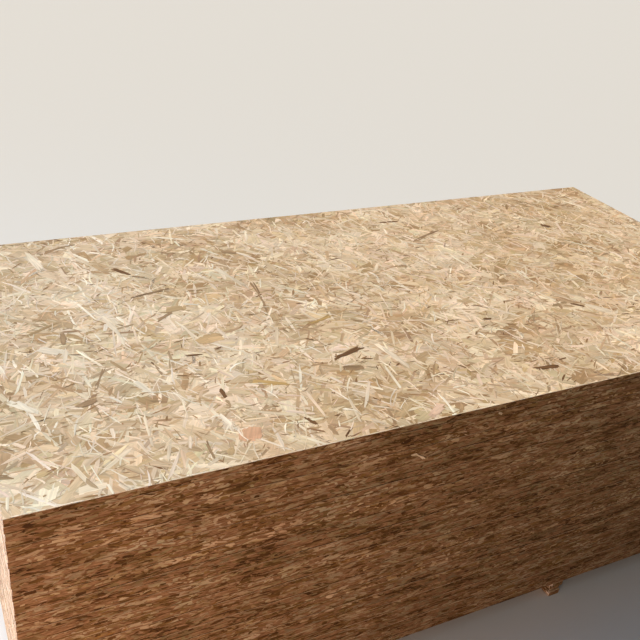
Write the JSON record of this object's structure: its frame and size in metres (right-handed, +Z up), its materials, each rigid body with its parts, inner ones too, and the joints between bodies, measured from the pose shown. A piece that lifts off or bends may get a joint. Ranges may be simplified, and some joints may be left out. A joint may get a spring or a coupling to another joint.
{
  "type": "stack of oriented strand board panels on strip bearers",
  "caption": "Flush stack of full oriented strand board sheets lying flat on cross bearers made of stacked board strips, with gaps underneath for forks.",
  "frame": {"origin": "on the floor, under the middle of the pack", "axes": "+X along the length of the panels, +Y across them (the picture looks at the -Y side from the -X end), +Z up"},
  "size_m": [2.4416, 1.2217, 0.81],
  "materials": {
    "osb_panel": "raw pressed strands, matt",
    "osb_strip": "raw sawn board strips, matt and dusty"
  },
  "bodies": {
    "root": {"panel_01": "osb_panel", "panel_02": "osb_panel", "panel_03": "osb_panel", "panel_04": "osb_panel", "panel_05": "osb_panel", "panel_06": "osb_panel", "panel_07": "osb_panel", "panel_08": "osb_panel", "panel_09": "osb_panel", "panel_10": "osb_panel", "panel_11": "osb_panel", "panel_12": "osb_panel", "panel_13": "osb_panel", "panel_14": "osb_panel", "panel_15": "osb_panel", "panel_16": "osb_panel", "panel_17": "osb_panel", "panel_18": "osb_panel", "panel_19": "osb_panel", "panel_20": "osb_panel", "panel_21": "osb_panel", "panel_22": "osb_panel", "panel_23": "osb_panel", "panel_24": "osb_panel", "panel_25": "osb_panel", "panel_26": "osb_panel", "panel_27": "osb_panel", "panel_28": "osb_panel", "panel_29": "osb_panel", "panel_30": "osb_panel", "panel_31": "osb_panel", "panel_32": "osb_panel", "panel_33": "osb_panel", "panel_34": "osb_panel", "panel_35": "osb_panel", "panel_36": "osb_panel", "panel_37": "osb_panel", "panel_38": "osb_panel", "panel_39": "osb_panel", "panel_40": "osb_panel", "panel_41": "osb_panel", "panel_42": "osb_panel", "bearer_1_strip_1": "osb_strip", "bearer_1_strip_2": "osb_strip", "bearer_1_strip_3": "osb_strip", "bearer_2_strip_1": "osb_strip", "bearer_2_strip_2": "osb_strip", "bearer_2_strip_3": "osb_strip", "bearer_3_strip_1": "osb_strip", "bearer_3_strip_2": "osb_strip", "bearer_3_strip_3": "osb_strip", "bearer_4_strip_1": "osb_strip", "bearer_4_strip_2": "osb_strip", "bearer_4_strip_3": "osb_strip"}
  },
  "joints": []
}
